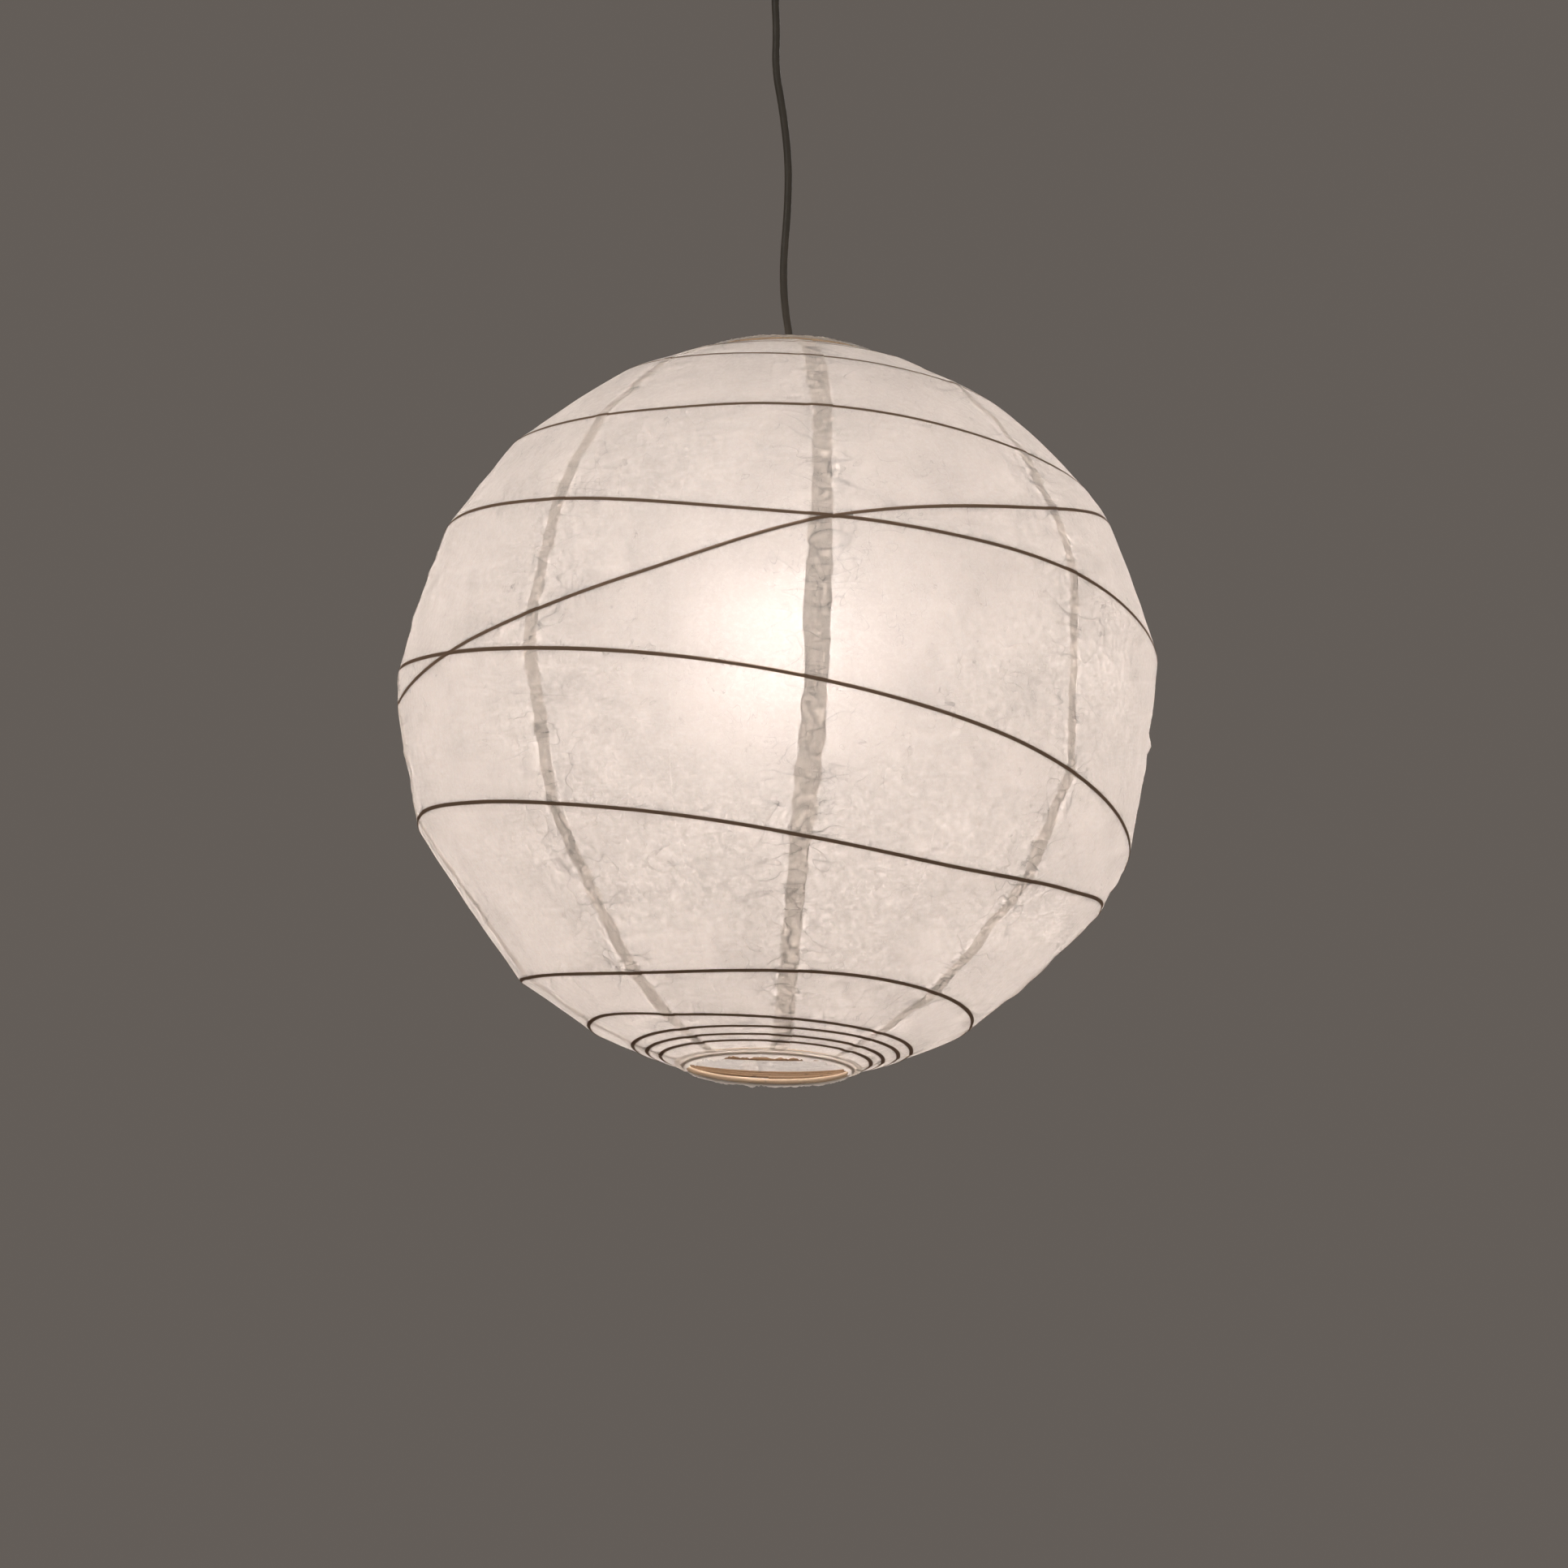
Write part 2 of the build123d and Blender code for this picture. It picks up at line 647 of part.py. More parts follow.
make_strap()
make_cup()
make_anchor()
make_supply()
make_cord()
make_holder()
make_bulb()
make_stretcher()
make_ring("top_ring", 1)
make_ring("bottom_ring", -1)
make_hem("top_hem", 1)
make_hem("bottom_hem", -1)
for number, (start, stop) in enumerate(zip(rib_splices, rib_splices[1:]), 1):
    make_rib(number, start, stop)
make_gores()
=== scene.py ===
import json
from math import asin, cos, exp, pi, radians, sin, sqrt

import bpy
from mathutils import Matrix, Vector, noise


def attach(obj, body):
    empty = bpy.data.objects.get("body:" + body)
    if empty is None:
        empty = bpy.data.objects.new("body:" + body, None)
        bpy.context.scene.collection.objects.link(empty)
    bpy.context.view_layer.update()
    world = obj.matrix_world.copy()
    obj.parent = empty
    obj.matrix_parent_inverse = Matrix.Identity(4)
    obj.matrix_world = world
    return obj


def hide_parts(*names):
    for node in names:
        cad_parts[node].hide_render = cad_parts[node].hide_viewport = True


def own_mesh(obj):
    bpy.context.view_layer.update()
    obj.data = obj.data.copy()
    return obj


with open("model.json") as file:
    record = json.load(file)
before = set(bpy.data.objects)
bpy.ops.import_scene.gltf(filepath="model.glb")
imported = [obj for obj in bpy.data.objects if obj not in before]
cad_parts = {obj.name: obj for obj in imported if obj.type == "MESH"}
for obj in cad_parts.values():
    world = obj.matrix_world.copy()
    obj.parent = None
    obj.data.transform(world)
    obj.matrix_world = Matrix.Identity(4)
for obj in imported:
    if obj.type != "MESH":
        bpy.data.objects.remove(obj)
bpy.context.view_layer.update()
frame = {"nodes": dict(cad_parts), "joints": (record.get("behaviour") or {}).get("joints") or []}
scene = bpy.context.scene
scene.view_settings.view_transform = "Standard"
bpy.ops.object.select_all(action="DESELECT")

# ---- How it hangs --------------------------------------------------------------------------------
# The whole lantern hangs on its cord and leans a little, because the bent cord starts beside its axis.
# Pieces of it are drawn upright about the shade's middle, in metres, and then leaned into place.
joints = {joint["name"]: joint for joint in frame["joints"]}
outlet = Vector(joints["swing_side"]["pos_m"])
shade_middle = Vector(joints["shade_turn"]["pos_m"])
lamp_up = Vector(joints["shade_turn"]["axis"])
lean = Matrix.Rotation(asin(lamp_up.x), 4, "Y")
hang = Matrix.Translation(shade_middle) @ lean


def hung(piece, body, slot, *nodes):
    """Leans a finished piece into place, and gives it its body and the nodes that it stands for. Its slot is
    not used.
    """
    piece.data.transform(hang)
    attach(piece, body)
    if nodes:
        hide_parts(*nodes)


# ---- Camera --------------------------------------------------------------------------------------
# It stands well back and below the lantern, and looks a little under the shade's middle.
camera_distance = 8.0
camera_below = radians(12.5)
aim_down, aim_right, camera_roll = radians(0.415), radians(0.023), radians(-0.35)
camera_data = bpy.data.cameras.new("camera")
camera_data.lens = 234
camera_data.clip_end = 200
camera = bpy.data.objects.new("camera", camera_data)
scene.collection.objects.link(camera)
camera_place = shade_middle - camera_distance * Vector((0, cos(camera_below), sin(camera_below)))
camera.matrix_world = (
    Matrix.Translation(camera_place)
    @ Matrix.Rotation(-aim_right, 4, "Z")
    @ Matrix.Rotation(pi / 2 + camera_below - aim_down, 4, "X")
    @ Matrix.Rotation(camera_roll, 4, "Z")
)
scene.camera = camera


# ---- Cord ----------------------------------------------------------------------------------------
# A round two-core flex, which carries the lamp's weight and still keeps a few slow bends from its reel.
# Its sheath is dark olive-brown vinyl. It leaves the cup's outlet and goes into the lampholder's neck.
class Value:
    """A socket in a material's nodes. Sums add Math nodes, and node() adds any other node."""

    def __init__(self, tree, socket):
        self.tree = tree
        self.socket = socket

    def node(self, kind, inputs, output=0, **settings):
        made = self.tree.nodes.new("ShaderNode" + kind)
        for name, setting in settings.items():
            setattr(made, name, setting)
        for name, value in inputs.items():
            if isinstance(value, Value):
                self.tree.links.new(value.socket, made.inputs[name])
            else:
                made.inputs[name].default_value = value
        return Value(self.tree, made.outputs[output])

    def maths(self, operation, first, second=0.0):
        return self.node("Math", {0: first, 1: second}, operation=operation)

    def __add__(self, other):
        return self.maths("ADD", self, other)

    __radd__ = __add__

    def __sub__(self, other):
        return self.maths("SUBTRACT", self, other)

    def __mul__(self, other):
        return self.maths("MULTIPLY", self, other)

    def __abs__(self):
        return self.maths("ABSOLUTE", self)

    def between(self, low, high, start=0.0, end=1.0):
        """Smoothly from start to end as this goes from low to high."""
        return self.node(
            "MapRange",
            {"Value": self, "From Min": low, "From Max": high, "To Min": start, "To Max": end},
            interpolation_type="SMOOTHSTEP",
        )

    def scaled(self, x, y, z):
        """This place, with its three directions scaled."""
        return self.node("Mapping", {"Vector": self, "Scale": (x, y, z)})

    def cloud(self, scale, detail=3.0, rough=0.55, bend=0.0):
        """Noise from 0 to 1 at this place, with scale in features to the metre."""
        inputs = {"Vector": self, "Scale": scale, "Detail": detail, "Roughness": rough, "Distortion": bend}
        return self.node("TexNoise", inputs)

    def blend(self, first, second):
        """The first colour where this is 0 and the second where it is 1."""
        return self.node("Mix", {0: self, 6: first, 7: second}, output=2, data_type="RGBA")

    def raised(self, height_mm, socket):
        """Feeds this, times a height in millimetres, to a shader's normal."""
        bump = self.node("Bump", {"Height": self, "Distance": height_mm / 1000, "Strength": 1.0})
        bump.into(socket)

    def into(self, socket):
        self.tree.links.new(self.socket, socket)


def new_material(name, colour, roughness, metallic=0.0):
    """A material, its shader, and the place on the piece in metres."""
    made = bpy.data.materials.new(name)
    made.use_nodes = True
    shader = made.node_tree.nodes["Principled BSDF"]
    shader.inputs["Base Color"].default_value = colour
    shader.inputs["Roughness"].default_value = roughness
    shader.inputs["Metallic"].default_value = metallic
    coordinates = made.node_tree.nodes.new("ShaderNodeTexCoord")
    return made, shader, Value(made.node_tree, coordinates.outputs["Object"])


def darker(colour, share):
    return (colour[0] * share, colour[1] * share, colour[2] * share, 1)


sheath_colour = (0.115, 0.10, 0.078, 1)
sheath, shader, place = new_material("cord_sheath", sheath_colour, 0.5)
handled = place.cloud(38, 4)
handled.blend(darker(sheath_colour, 0.75), darker(sheath_colour, 1.3)).into(shader.inputs["Base Color"])
place.cloud(240, 2).between(0.3, 0.7, 0.42, 0.6).into(shader.inputs["Roughness"])
place.scaled(1, 1, 0.12).cloud(900, 2).raised(0.05, shader.inputs["Normal"])

cord_radius = 0.003
cord_route = [
    (-0.022, 0, 0.615), (-0.0222, 0.0005, 0.585), (-0.0195, 0, 0.553), (-0.0198, -0.001, 0.522),
    (-0.0125, 0, 0.488), (-0.0066, 0.0015, 0.446), (-0.0062, 0.0005, 0.405), (-0.0084, -0.001, 0.364),
    (-0.0068, 0, 0.331), (-0.0002, 0.001, 0.296), (0.001, 0.0005, 0.252), (0, 0, 0.208),
    (0, 0.0002, 0.172), (0, 0, 0.152),
]
cord_curve = bpy.data.curves.new("hanging_cord", "CURVE")
cord_curve.dimensions = "3D"
spline = cord_curve.splines.new("NURBS")
spline.points.add(len(cord_route) - 1)
for point, here in zip(spline.points, cord_route):
    point.co = (*(hang @ Vector(here)), 1)
spline.points[0].co = (*outlet, 1)
spline.order_u = 3
spline.use_endpoint_u = True
cord_curve.resolution_u = 12
cord_curve.bevel_depth = cord_radius
cord_curve.bevel_resolution = 6
cord_curve.use_fill_caps = True
cord = bpy.data.objects.new("hanging_cord", cord_curve)
scene.collection.objects.link(cord)
cord_curve.materials.append(sheath)
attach(cord, "pendant")
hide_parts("cord")


# ---- Ceiling fitting -----------------------------------------------------------------------------
# A moulded cup that two small screws hold to a steel strap. Under the strap sit the cord's anchor, the
# terminal block and its wires, and the cord comes out through a rubber ball that lets it lean.
def dress(node, material):
    """Gives a node of the frame its material."""
    node_mesh = frame["nodes"][node].data
    node_mesh.materials.clear()
    node_mesh.materials.append(material)


def moulded(name, colour, roughness, grain=700, height_mm=0.03):
    """Plastic or rubber from a mould, with a fine sparked grain and a faint unevenness of colour."""
    made, shader, place = new_material(name, colour, roughness)
    clouds = place.cloud(30, 4)
    clouds.blend(darker(colour, 0.88), darker(colour, 1.12)).into(shader.inputs["Base Color"])
    rubbed = place.cloud(90, 3)
    rubbed.between(0.35, 0.7, roughness - 0.07, roughness + 0.08).into(shader.inputs["Roughness"])
    place.cloud(grain, 2).raised(height_mm, shader.inputs["Normal"])
    return made


def metal(name, colour, roughness, stretch=(1, 1, 8), tarnish=0.75):
    """Drawn, turned or pressed metal: fine marks along one way, and dull patches where it has tarnished."""
    made, shader, place = new_material(name, colour, roughness, 1.0)
    marks = place.scaled(*stretch).cloud(500, 3)
    patches = place.cloud(60, 4).between(0.4, 0.7)
    patches.blend(colour, darker(colour, tarnish)).into(shader.inputs["Base Color"])
    worn = marks.between(0.3, 0.7, roughness - 0.08, roughness + 0.1) + patches * 0.1
    worn.into(shader.inputs["Roughness"])
    marks.raised(0.015, shader.inputs["Normal"])
    return made


cup_plastic = moulded("cup_plastic", (0.075, 0.066, 0.055, 1), 0.42)
strap_steel = metal("zinced_steel", (0.62, 0.62, 0.60, 1), 0.38, (8, 1, 1))
nylon = moulded("nylon", (0.78, 0.76, 0.70, 1), 0.55)
grommet_rubber = moulded("grommet_rubber", (0.03, 0.03, 0.03, 1), 0.7, 1200, 0.04)
core_vinyl = moulded("core_vinyl", (0.24, 0.12, 0.06, 1), 0.45)
screw_brass = metal("terminal_brass", (0.70, 0.52, 0.24, 1), 0.32)
dress("ceiling_cup", cup_plastic)
dress("ceiling_strap", strap_steel)
dress("cup_screws", strap_steel)
dress("anchor_screws", strap_steel)
dress("cord_anchor", nylon)
dress("terminal_block", nylon)
dress("terminal_screws", screw_brass)
dress("supply_cores", core_vinyl)
dress("cord_tail", sheath)
dress("outlet_grommet", grommet_rubber)

# ---- Spiral rib ----------------------------------------------------------------------------------
# One long strip of split bamboo, spliced from nine lengths, winds from the top ring to the bottom ring.
# It is placed loosely by eye, so it dips, rises and crosses itself twice. Its skin side faces the paper.
half_width = 0.300
half_height = 0.2911
paper_depth = 0.0007        # middle of the sheet inside the mould's surface, where it rests on the rib
rib_depth = 0.0021
rib_size = (0.0024, 0.0021)
crossings = (2.84, 3.03)    # between these turns the strip runs inside the passes that it crosses
crossing_drop = 0.0029
crossing_ease = 0.06        # turns over which it goes down to there and comes back
rib_knots = [               # turns round from the front towards +X, height above the middle in millimetres
    (-3.0, 281), (-2.0, 279), (-1.0, 273), (-0.5, 266), (0.0, 250), (0.09, 246),
    (0.45, 218), (0.84, 193), (0.93, 190), (0.99, 192), (1.05, 190), (1.17, 175),
    (1.45, 154), (1.79, 129), (1.89, 114), (1.98, 95), (2.05, 88), (2.14, 76), (2.24, 48),
    (2.5, 12), (2.77, -10), (2.86, 10), (2.94, 43), (3.02, 90), (3.12, 122), (3.22, 148),
    (3.36, 138), (3.5, 105), (3.65, 50), (3.77, 17), (3.87, -4), (3.97, -27), (4.09, -62),
    (4.23, -106), (4.4, -127), (4.6, -110), (4.77, -102), (4.84, -113), (4.93, -134),
    (5.03, -156), (5.1, -164), (5.18, -159), (5.26, -149), (5.45, -164), (5.65, -204),
    (5.79, -228), (5.91, -241), (6.08, -241), (6.3, -249), (6.8, -258), (6.92, -266),
    (7.2, -270), (8.0, -273), (9.0, -277), (10.0, -280), (10.5, -281),
]
rib_splices = [-3.0, -0.5, 0.5, 1.5, 2.5, 3.5, 4.5, 5.5, 6.5, 10.5]
rib_points_per_turn = 90
knuckle_pitch = 0.31        # turns between the bamboo's knuckles
knuckle_swell = 0.16
knuckle_half = 0.004
rib_uneven = 0.06
section_points = 12
strip_weld = 0.00001
split_side = 0.8            # how thick the inner, split side is, as a share of the skin side
end_slope = 1.1             # how the paper's folds go on from the rib's ends to the rings, in mm a turn


def rib_height(turn):
    """The rib's height in metres, smooth through the knots. Past the rib's ends it is the paper's folds."""
    first, last = rib_knots[0], rib_knots[-1]
    if turn < first[0]:
        return (first[1] + end_slope * (first[0] - turn)) / 1000
    if turn >= last[0]:
        return (last[1] - end_slope * (turn - last[0])) / 1000
    k = next(i for i in range(len(rib_knots) - 1) if turn < rib_knots[i + 1][0])
    (t1, z1), (t2, z2) = rib_knots[k], rib_knots[k + 1]
    (t0, z0), (t3, z3) = rib_knots[max(k - 1, 0)], rib_knots[min(k + 2, len(rib_knots) - 1)]
    span = t2 - t1
    slope1 = (z2 - z0) / (t2 - t0) * span
    slope2 = (z3 - z1) / (t3 - t1) * span
    s = (turn - t1) / span
    height = (2 * s**3 - 3 * s**2 + 1) * z1 + (s**3 - 2 * s**2 + s) * slope1
    height += (3 * s**2 - 2 * s**3) * z2 + (s**3 - s**2) * slope2
    return height / 1000


def on_mould(turn, height, depth):
    """The point at this height on the mould's surface, or inside it by a depth."""
    latitude = asin(max(-1, min(1, height / half_height)))
    reach = (half_width - depth) * cos(latitude)
    angle = 2 * pi * turn
    return Vector((reach * sin(angle), -reach * cos(angle), (half_height - depth) * sin(latitude)))


bamboo_skin = (0.30, 0.185, 0.095, 1)


def bamboo(name, colour):
    """Split bamboo: long fine fibres, a satin skin and brown flecks."""
    made, shader, place = new_material(name, colour, 0.5)
    fibres = place.scaled(1, 1, 9).cloud(420, 4, 0.6, 0.4)
    flecks = place.cloud(120, 5).between(0.58, 0.7)
    stripes = (fibres * 0.7 + flecks * 0.5).blend(darker(colour, 1.25), darker(colour, 0.55))
    stripes.into(shader.inputs["Base Color"])
    fibres.between(0.3, 0.7, 0.42, 0.62).into(shader.inputs["Roughness"])
    fibres.raised(0.12, shader.inputs["Normal"])
    return made


rib_bamboo = bamboo("rib_bamboo", bamboo_skin)


def new_section(name, outline):
    """A closed outline, in metres across and up, that is swept along a route."""
    curve = bpy.data.curves.new(name, "CURVE")
    curve.dimensions = "2D"
    line = curve.splines.new("POLY")
    line.points.add(len(outline) - 1)
    for point, (across, up) in zip(line.points, outline):
        point.co = (across, up, 0, 1)
    line.use_cyclic_u = True
    section = bpy.data.objects.new(name, curve)
    scene.collection.objects.link(section)
    return section


def mend(piece, weld=0.0, outward=False):
    """Welds a piece's points that are closer than a distance, and can turn its faces outwards."""
    bpy.ops.object.select_all(action="DESELECT")
    piece.select_set(True)
    bpy.context.view_layer.objects.active = piece
    bpy.ops.object.mode_set(mode="EDIT")
    bpy.ops.mesh.select_all(action="SELECT")
    if weld:
        bpy.ops.mesh.remove_doubles(threshold=weld)
    if outward:
        bpy.ops.mesh.normals_make_consistent(inside=False)
    bpy.ops.object.mode_set(mode="OBJECT")


def bent_strip(name, points, widths, section, material):
    """A strip along points, given its section and how thick it is at each, as a mesh of its own."""
    route = bpy.data.curves.new(name, "CURVE")
    route.dimensions = "3D"
    line = route.splines.new("POLY")
    line.points.add(len(points) - 1)
    for point, here, width in zip(line.points, points, widths):
        point.co = (*here, 1)
        point.radius = width
    route.bevel_mode = "OBJECT"
    route.bevel_object = section
    route.use_fill_caps = True
    strip = bpy.data.objects.new(name, route)
    scene.collection.objects.link(strip)
    bpy.ops.object.select_all(action="DESELECT")
    strip.select_set(True)
    bpy.context.view_layer.objects.active = strip
    bpy.ops.object.convert(target="MESH")
    strip = bpy.context.view_layer.objects.active
    mend(strip, strip_weld, outward=True)
    bpy.ops.object.shade_smooth_by_angle(angle=radians(50))
    strip.name = name
    strip.data.materials.clear()
    strip.data.materials.append(material)
    strip.select_set(False)
    return strip


ring_span = 0.568


def folds(piece):
    """Gives the piece a mesh of its own."""
    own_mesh(piece)


rib_outline = []
for k in range(section_points):
    angle = 2 * pi * k / section_points
    across, up = rib_size[1] / 2 * cos(angle), rib_size[0] / 2 * sin(angle)
    rib_outline.append((across * split_side if across < 0 else across, up))
rib_section = new_section("rib_section", rib_outline)
for number, (start, stop) in enumerate(zip(rib_splices, rib_splices[1:]), 1):
    count = round((stop - start) * rib_points_per_turn)
    points, widths = [], []
    for k in range(count + 1):
        turn = start + (stop - start) * k / count
        away = max(crossings[0] - turn, turn - crossings[1], 0)
        depth = rib_depth + crossing_drop * exp(-((away / crossing_ease) ** 2))
        points.append(on_mould(turn, rib_height(turn), depth))
        knuckle = abs((turn / knuckle_pitch) % 1 - 0.5) * knuckle_pitch * 2 * pi * half_width
        uneven = noise.noise(Vector((turn * 9, 0.3, number)))
        swell = knuckle_swell * exp(-((knuckle / knuckle_half) ** 2))
        widths.append(1 + rib_uneven * uneven + swell)
    rib = bent_strip(f"bamboo_rib_{number}", points, widths, rib_section, rib_bamboo)
    hung(rib, "shade", "rib_bamboo", f"rib_{number}")
    folds(rib)

# ---- Rings ---------------------------------------------------------------------------------------
# Two hoops of bamboo, taller than they are thick, which hold the mouths open. The paper's ends are
# pasted round their outsides, and their inner faces stay bare and catch the lamp's light.
mouth_radius = 0.066
hoop_size = (0.0029, 0.0042)
ring_bamboo = bamboo("ring_bamboo", (0.92, 0.72, 0.52, 1))
hoop_steps = (160, 16)
hoop_uneven = 0.12
hoop_warp = 0.0004
ring_height = ring_span / 2


def make_hoop(name, side, body, node):
    """A hoop at one end of the shade, a little uneven in its height and a little warped."""
    bpy.ops.mesh.primitive_torus_add(
        major_radius=mouth_radius, minor_radius=hoop_size[0] / 2,
        major_segments=hoop_steps[0], minor_segments=hoop_steps[1],
    )
    hoop = bpy.context.object
    hoop.name = name
    for vertex in hoop.data.vertices:
        around = noise.noise(Vector((vertex.co.x * 40, vertex.co.y * 40, side)))
        taller = hoop_size[1] / hoop_size[0] * (1 + hoop_uneven * around)
        vertex.co.z = side * ring_height + vertex.co.z * taller
        vertex.co.z += hoop_warp * noise.noise(Vector((vertex.co.x * 16, vertex.co.y * 16, 5 * side)))
    bpy.ops.object.shade_smooth()
    hoop.data.materials.append(ring_bamboo)
    hoop.select_set(False)
    hung(hoop, body, "bamboo", node)


make_hoop("bamboo_top_ring", 1, "shade", "top_ring")
make_hoop("bamboo_bottom_ring", -1, "lower_ring", "bottom_ring")

# ---- Paper gores ---------------------------------------------------------------------------------
# Eight pointed strips of washi, lapped by 18 mm at one seam and 12 mm at the others, are pasted over the
# rib while wet. Each dries tight, so it runs straight between the rib's passes and puckers beside its laps.
gore_count = 8
first_seam = radians(6)
half_lap = 0.009
other_laps = 0.66
lap_at_mouth = 0.55         # how much of a lap's width is left where the gores have narrowed to nothing
full_lap_width = 0.2        # gores at least this wide have the whole lap
lap_step = 0.004
lap_rise = 0.0005
pucker_width = 0.040
pucker_share = 0.3
pucker_span = 0.03          # passes at least this far apart have full puckers between them
wander_reach = 0.15         # a seam wanders less where the shade is narrower than this
least_gap = 0.0007
settling_steps = 4
far_from_rib = 0.02
gore_end_height = 0.2834
gore_end_radius = 0.0685
strip_columns = 8           # across a lap
pucker_columns = 12
middle_columns = 38
row_pitch = 0.0034
slack = 0.14                # how much of the mould's fullness is left between two passes of the rib
torn = (0.0030, 0.0022)     # how far a torn edge strays slowly and quickly
wandering = (0.0075, 0.0034)
gather_height, gather_fade = 0.0019, 0.014
crease_height, crease_fade = 0.0026, 0.035
swell_height, dimple_height = 0.0024, 0.0008
gather_at_rib = 0.0002
seam_spacing = 0.6          # sets the seams' textures apart from each other


def lap_at(seam, width):
    """Half a lap where the gores are this wide. The first seam closed the shade, so its lap is the widest,
    and all of them are trimmed narrower towards the mouths."""
    share = 1 if seam % gore_count == 0 else other_laps
    return half_lap * share * (lap_at_mouth + (1 - lap_at_mouth) * min(1, width / full_lap_width))


def gore_side(lap, width):
    """Distances of the columns from a seam to where the puckers beside it end."""
    puckered = min(pucker_width, pucker_share * (width - 2 * lap))
    across = [lap * (2 * k / strip_columns - 1) for k in range(strip_columns + 1)]
    return across + [lap + puckered * k / pucker_columns for k in range(1, pucker_columns + 1)]


def gore_columns(number, width):
    """Distances of a gore's columns from its first seam, where its seams are this far apart."""
    left = gore_side(lap_at(number - 1, width), width)
    right = gore_side(lap_at(number, width), width)
    middle_width = width - left[-1] - right[-1]
    middle = [left[-1] + middle_width * k / middle_columns for k in range(1, middle_columns)]
    return left + middle + [width - x for x in reversed(right)]


def passes(turn):
    """The heights of the rib's passes at a place round the shade, from the top down and a little apart.
    The paper's folds past the rib's ends are among them. Says of each whether the rib is there."""
    found = sorted(((rib_height(n + turn), n + turn) for n in range(-4, 12)), reverse=True)
    heights = [height for height, _ in found]
    for k in range(1, len(heights)):
        heights[k] = min(heights[k], heights[k - 1] - least_gap)
    ribbed = [rib_knots[0][0] <= place <= rib_knots[-1][0] for _, place in found]
    return [gore_end_height, *heights, -gore_end_height], [False, *ribbed, False]


def ragged(v, seed):
    """How far a torn edge strays, along the gore."""
    slow = noise.noise(Vector((v * 11, seed, 0.7)))
    quick = noise.noise(Vector((v * 90, seed, 3.1)))
    return torn[0] * slow + torn[1] * quick


def wander(number, height):
    """How far a seam strays to one side on its way down."""
    number = number % gore_count
    slow = noise.noise(Vector((height * 6, 3.3 * number + 0.4, 1.7)))
    quick = noise.noise(Vector((height * 34, 2.1 * number + 5, 0.2)))
    return wandering[0] * slow + wandering[1] * quick


def nearest_seam(angle, reach, height):
    """The seam nearest a place, and how far in metres the place is past it."""
    pitch = 2 * pi / gore_count
    number = round((angle - first_seam) / pitch)
    past = (angle - first_seam - number * pitch) * reach
    return number % gore_count, past - wander(number, height) * min(1, reach / wander_reach)


def pucker(angle, reach, height, stretch):
    """How far the sheet stands out between two passes of the rib: small gathers beside a lap, creases that
    run out from it, and a slow unevenness of the open sheet."""
    number, beside = nearest_seam(angle, reach, height)
    fade = exp(-abs(beside) / gather_fade)
    gathers = noise.noise(Vector((beside * 30, height * 110, 7.3 * number)))
    creases = noise.noise(Vector((beside * 14 + height * 40, height * 46 - beside * 20, 31 + 2.7 * number)))
    place = Vector((sin(angle) * reach, cos(angle) * reach, height))
    slow = noise.noise(place * 11)
    dimples = noise.noise(place * 38 + Vector((5, 3, 1)))
    standing = gather_height * gathers * fade + crease_height * creases * exp(-abs(beside) / crease_fade)
    standing += swell_height * slow + dimple_height * dimples
    return standing * stretch + gather_at_rib * abs(gathers) * fade


def gore_folds(number, seams, columns):
    """Follows each pass of the rib across a gore, which narrows much more than its laps do. Says of every
    column its distance from the first seam, its angle, whether the rib is there, and its height."""
    fold_count = len(passes(0)[0])
    folds_at = []
    for k in range(fold_count):
        line = []
        for c in range(columns):
            height = passes((seams[0] + seams[1]) / (4 * pi))[0][k]
            for _ in range(settling_steps):
                reach = gore_end_radius
                if 0 < k < fold_count - 1:
                    reach = -on_mould(0, height, paper_depth).y
                width = (seams[1] - seams[0]) * reach
                offset = gore_columns(number, width)[c]
                share = offset / width
                strays = wander(number - 1, height) * (1 - share) + wander(number, height) * share
                angle = seams[0] + (offset + strays * min(1, reach / wander_reach)) / reach
                heights, ribbed = passes(angle / (2 * pi))
                height = heights[k]
            line.append((offset, angle, ribbed[k], height))
        folds_at.append(line)
    return folds_at


def rows_for(upper_line, lower_line):
    """How many rows the widest gap between two passes needs. It is even, so one line runs down the middle
    between them."""
    widest = max(
        (on_mould(a[1] / (2 * pi), a[3], 0) - on_mould(b[1] / (2 * pi), b[3], 0)).length
        for a, b in zip(upper_line, lower_line)
    )
    return max(2, 2 * round(widest / row_pitch / 2))


